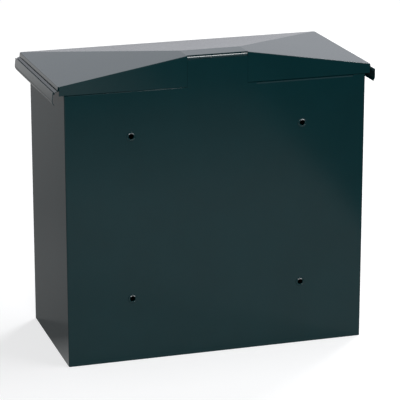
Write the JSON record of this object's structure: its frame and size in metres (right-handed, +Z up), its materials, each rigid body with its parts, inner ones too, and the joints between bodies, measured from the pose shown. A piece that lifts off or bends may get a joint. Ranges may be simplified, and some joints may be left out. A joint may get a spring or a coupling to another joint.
{
  "type": "wall mounted mailbox",
  "caption": "Wall mounted mailbox of folded painted sheet: a hinged roof lid over the posting slot, a locked front door, and a back panel drilled for wall screws.",
  "frame": {"origin": "centre of the four wall fixings, on the outer face of the back panel", "axes": "+Y into the wall, +Z up, +X to the right as seen by someone who faces the mailbox"},
  "size_m": [0.3762, 0.1922, 0.3509],
  "materials": {
    "green_paint": "smooth glossy dark green powder coat on steel sheet",
    "steel": "zinc plated steel",
    "chrome": "nickel plated lock face",
    "rubber": "matte black rubber"
  },
  "bodies": {
    "box": {"body_shell": "green_paint", "floor_pan": "green_paint", "front_frame": "green_paint", "mail_baffle": "green_paint", "lid_hinge_back_leaf": "green_paint", "lid_hinge_pin": "steel", "lid_buffers": "rubber", "door_hinge_frame_leaves": "green_paint", "door_hinge_pins": "steel", "frame_rivets": "steel"},
    "lid": {"roof_lid": "green_paint", "eaves_rail_left": "green_paint", "eaves_rail_right": "green_paint", "lid_hinge_lid_leaf": "green_paint"},
    "door": {"front_door": "green_paint", "door_hinge_door_leaves": "green_paint", "door_rivets": "steel", "lock_housing": "chrome", "lock_washer": "steel", "lock_nut": "steel"},
    "lock": {"lock_plug": "chrome", "lock_cam": "steel", "cam_washer": "steel", "cam_screw": "steel"}
  },
  "joints": [
    {"name": "lid_hinge", "type": "hinge", "parent": "box", "child": "lid", "pos_m": [0, -0.00305, 0.17807], "axis": [-1, 0, 0], "range_deg": [0, 85]},
    {"name": "door_hinge", "type": "hinge", "parent": "box", "child": "door", "pos_m": [-0.1468, -0.1696, -0.0304], "axis": [0, 0, -1], "range_deg": [0, 110]},
    {"name": "lock_turn", "type": "hinge", "parent": "door", "child": "lock", "pos_m": [0.1208, -0.167, -0.0304], "axis": [0, 1, 0], "range_deg": [0, 90]}
  ]
}
